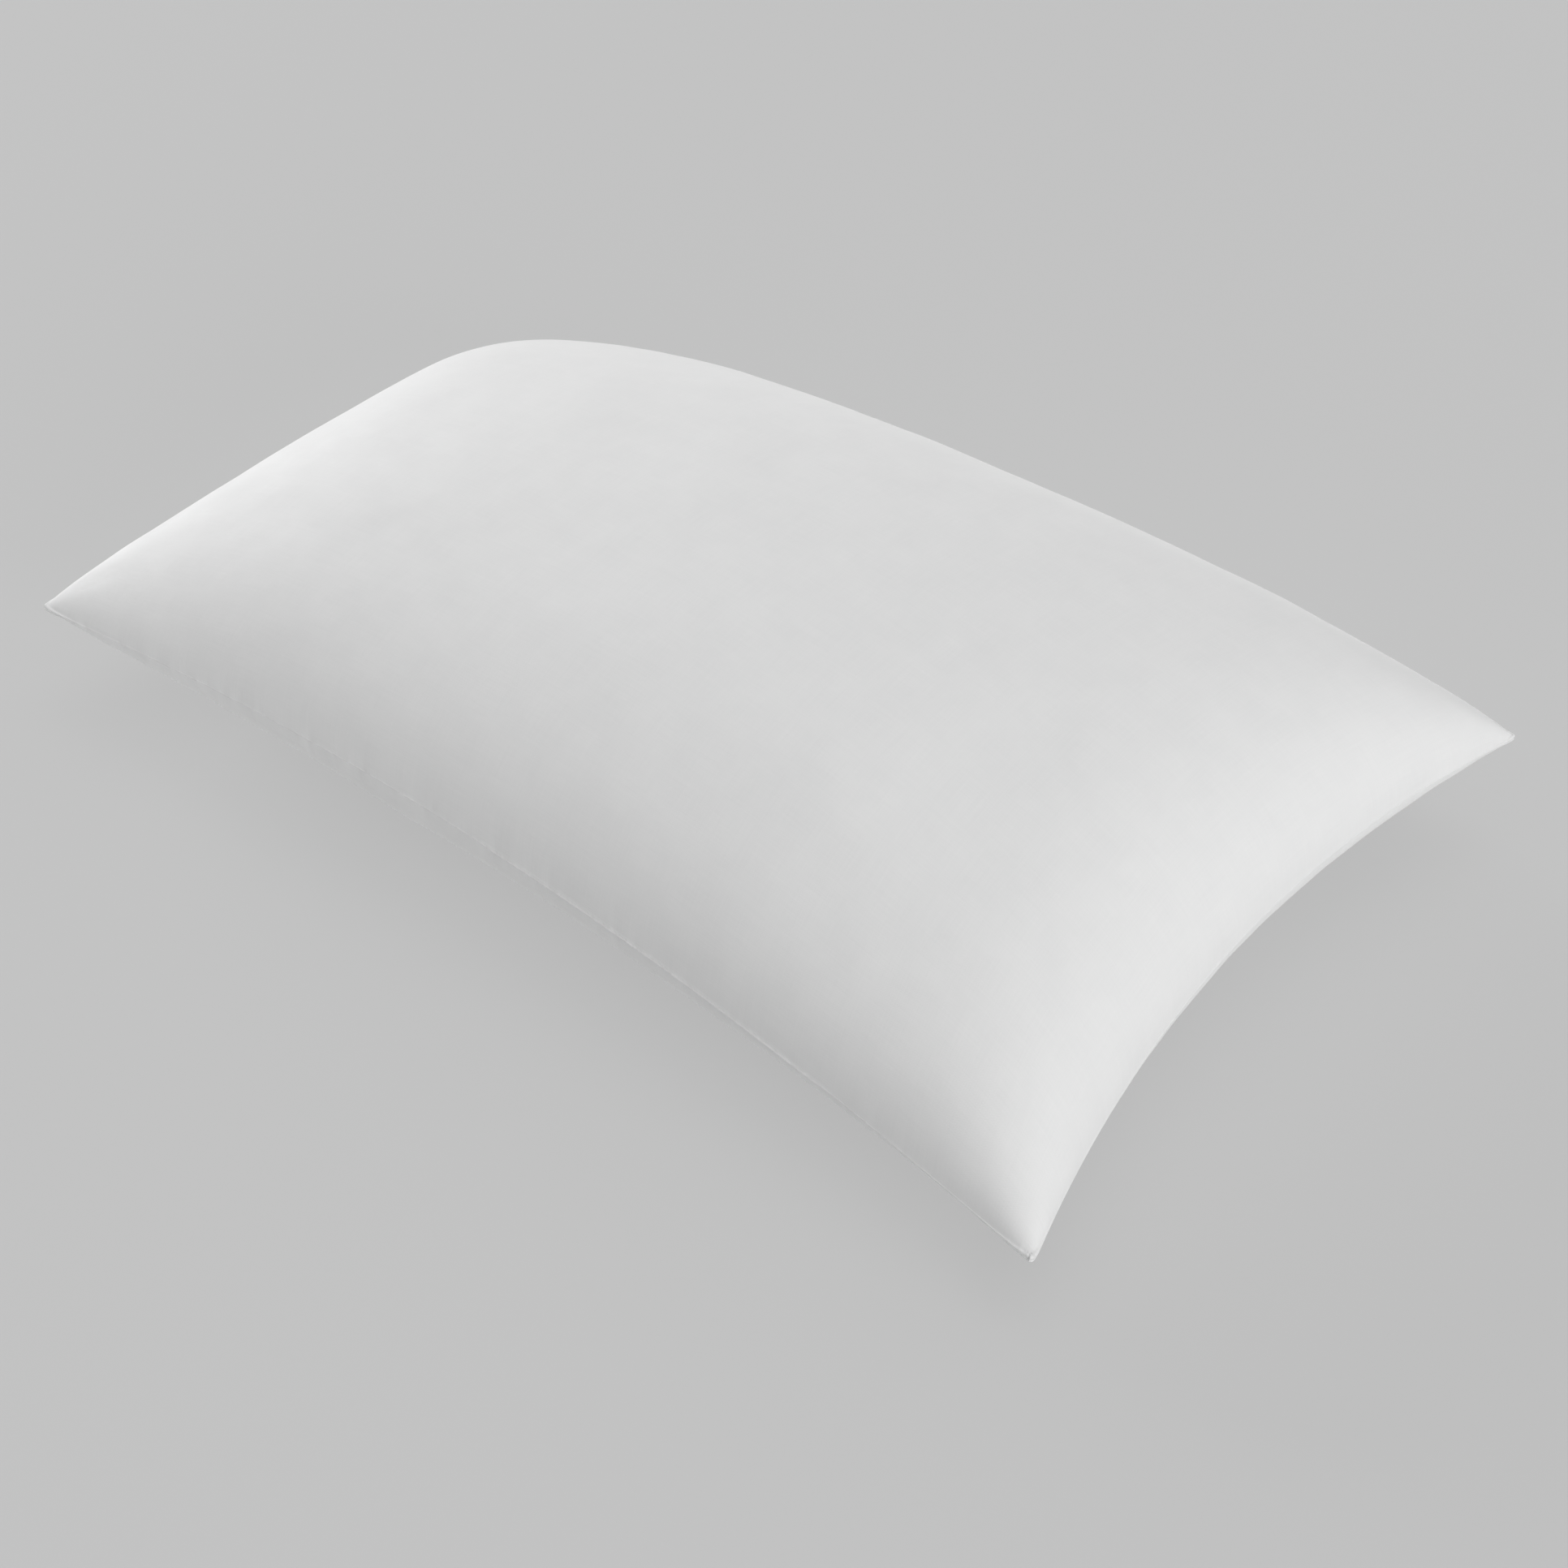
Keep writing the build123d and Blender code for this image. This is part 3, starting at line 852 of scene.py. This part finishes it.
def closingRows():
    # along both faces of the lip, where the pillow was sewn up last
    ring = seamRing(0.0)
    share = closingShare(ring)
    chosen = np.flatnonzero(share > 0.5)
    middleOfLip = outwardOf(ring)[chosen] * (seamSet["closingWidth"] * 0.5)
    proud = stitchSet["radius"] * (1 - seamSet["closingSunk"])
    face = np.array([0, 0, seamSet["lipHeight"] + proud])
    return [(ring[chosen] + middleOfLip + side * face, False) for side in (1, -1)]


def lockRow(side):
    ring = liftedRing(stitchSet["lockstitch"]["inset"], side * (layerTop + stitchSet["radius"]))
    return [(ring, True)]


overlockRow = [(liftedRing(stitchSet["overlock"]["inset"], 0.0), True)]
for name, node, rows, kind, wraps in (
    ("needleStitches", "seam_needle_thread", lockRow(1), "lockstitch", False),
    ("bobbinStitches", "seam_bobbin_thread", lockRow(-1), "lockstitch", False),
    ("overlockStitches", "overlock_thread", overlockRow, "overlock", True),
    ("closingStitches", "closing_seam_thread", closingRows(), "closing", False),
):
    piece = stitchPiece(name, rows, stitchTree, stitchSet[kind], threadMaterial, len(name), wraps)
    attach(piece, "pillow")
    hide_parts(node)

# the filling: two batts round a core, all a little inside the cover
fillSet = {"rim": 0.0092, "skinDepth": 0.0009, "battThickness": 0.014, "gap": 0.0004, "lift": 0.0006,
           "clumps": ((0.0016, 28.0), (0.0008, 70.0)), "battSink": 0.6, "coreSink": 1.4, "every": 2}


def fillSkins(stripped, lift):
    # the inside of both panels, this much further in, moved as the cover moved when it was inflated
    inset, depth = fillSet["rim"] + stripped, fillSet["skinDepth"] + stripped
    top = crownPoint(tGrid, sGrid, inset, depth, lift) + upperSkin - crownPoint(tGrid, sGrid)
    bottom = underPoint(tGrid, sGrid, inset, depth, lift) + lowerSkin - underPoint(tGrid, sGrid)
    bottom[..., 2] = np.maximum(bottom[..., 2], depth)
    step = fillSet["every"]
    return top[::step, ::step], bottom[::step, ::step]


def sunkIn(grid, flip, share):
    # clumps only ever sink in, so no layer reaches its neighbour
    sink = np.zeros(grid.shape[:2])
    for size, scale in fillSet["clumps"]:
        cloud = [noise.noise(Vector(point) * scale) for point in grid.reshape(-1, 3).tolist()]
        sink -= share * size * (0.5 + 0.5 * np.array(cloud).reshape(sink.shape))
    sink[0], sink[-1], sink[:, 0], sink[:, -1] = 0, 0, 0, 0
    return grid + skinNormals(grid, flip) * sink[..., None]


def shellPiece(name, first, second, material, facing):
    # two skins joined round their rims; the first faces out, up for 1 and down for -1
    count = first[..., 0].size
    border = borderIndex(*first.shape[:2])
    quads = [gridQuads(*first.shape[:2], facing < 0), count + gridQuads(*first.shape[:2], facing > 0)]
    rim = np.stack([border, border + count, np.roll(border, -1) + count, np.roll(border, -1)], -1)
    quads.append(rim if facing > 0 else rim[:, ::-1])
    points = np.concatenate([first.reshape(-1, 3), second.reshape(-1, 3)])
    return addPiece(name, points, np.concatenate(quads), material)


outerTop, outerBottom = fillSkins(0.0, fillSet["lift"])
innerTop, innerBottom = fillSkins(fillSet["battThickness"], fillSet["lift"])
coreTop, coreBottom = fillSkins(fillSet["battThickness"] + fillSet["gap"], 0.0)
cardedBatt = makeFibreMaterial("cardedBatt", fibreLooks["cardedBatt"])
blownFibre = makeFibreMaterial("blownFibre", fibreLooks["blownFibre"])
outerTop = sunkIn(outerTop, False, fillSet["battSink"])
outerBottom = sunkIn(outerBottom, True, fillSet["battSink"])
coreTop = sunkIn(coreTop, False, fillSet["coreSink"])
coreBottom = sunkIn(coreBottom, True, fillSet["coreSink"])
for name, node, slot, skins, material, facing in (
    ("upperFibreBatt", "upper_fibre_batt", "fibre_batt", (outerTop, innerTop), cardedBatt, 1),
    ("lowerFibreBatt", "lower_fibre_batt", "fibre_batt", (outerBottom, innerBottom), cardedBatt, -1),
    ("fibreCore", "fibre_fill_core", "fibre_core", (coreTop, coreBottom), blownFibre, 1),
):
    piece = shellPiece(name, *skins, material, facing)
    fluffed = piece.modifiers.new("fluffed", "SUBSURF")
    fluffed.levels = fluffed.render_levels = 1
    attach(piece, "pillow")
    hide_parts(node)
print("filling made")

# a blank satin tape, folded once and hanging from the far seam
labelSet = {"width": 0.026, "drop": 0.0296, "gap": 0.00034, "belly": 0.0003, "curl": 0.0012,
            "skew": 0.5, "tape": 0.00012, "columns": 14, "rows": 15, "foldSteps": 5}


def makeLabel(s):
    hinge = frame["record"]["behaviour"]["joints"][0]
    pivot, along = np.array(hinge["pos_m"]), np.array(hinge["axis"])
    outward = np.cross(along, (0, 0, -1.0))
    if outward[1] < 0:
        outward = -outward
    down = np.linspace(0, 1, s["rows"])
    apart = s["gap"] / 2 + s["belly"] * np.sin(math.pi * down) ** 2
    bend = np.linspace(0, math.pi, s["foldSteps"] + 2)[1:-1]
    path = [(-a, d * s["drop"]) for a, d in zip(apart, down)]
    path += [(-math.cos(b) * s["gap"] / 2, s["drop"] + math.sin(b) * s["gap"] / 2) for b in bend]
    path += [(a, d * s["drop"]) for a, d in zip(apart[::-1], down[::-1])]
    path = np.array(path)
    runs = np.insert(np.cumsum(np.linalg.norm(np.diff(path, axis=0), axis=1)), 0, 0)
    places = np.linspace(-0.5, 0.5, s["columns"])
    points, flat = [], []
    for place in places:
        for (away, low), run in zip(path, runs):
            curl = s["curl"] * (low / s["drop"]) ** 2 * (1 + s["skew"] * place)
            across = along * place * s["width"] + outward * (away + curl)
            points.append(pivot + across - np.array([0, 0, low]))
            flat.append(((place + 0.5) * s["width"], run))
    quads = gridQuads(len(places), len(path))
    label = addPiece("careLabel", points, quads, makeLabelMaterial(labelLook))
    layer = label.data.uv_layers.new(name="clothPlane")
    for loop in label.data.loops:
        layer.data[loop.index].uv = flat[loop.vertex_index]
    tape = label.modifiers.new("tape", "SOLIDIFY")
    tape.thickness = s["tape"]
    tape.offset = 0
    rounded = label.modifiers.new("rounded", "SUBSURF")
    rounded.levels = rounded.render_levels = 1
    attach(label, "label")
    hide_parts("care_label")
    print("label made: %.1f by %.1f mm of tape" % (s["width"] * 1000, runs[-1] * 1000))


makeLabel(labelSet)
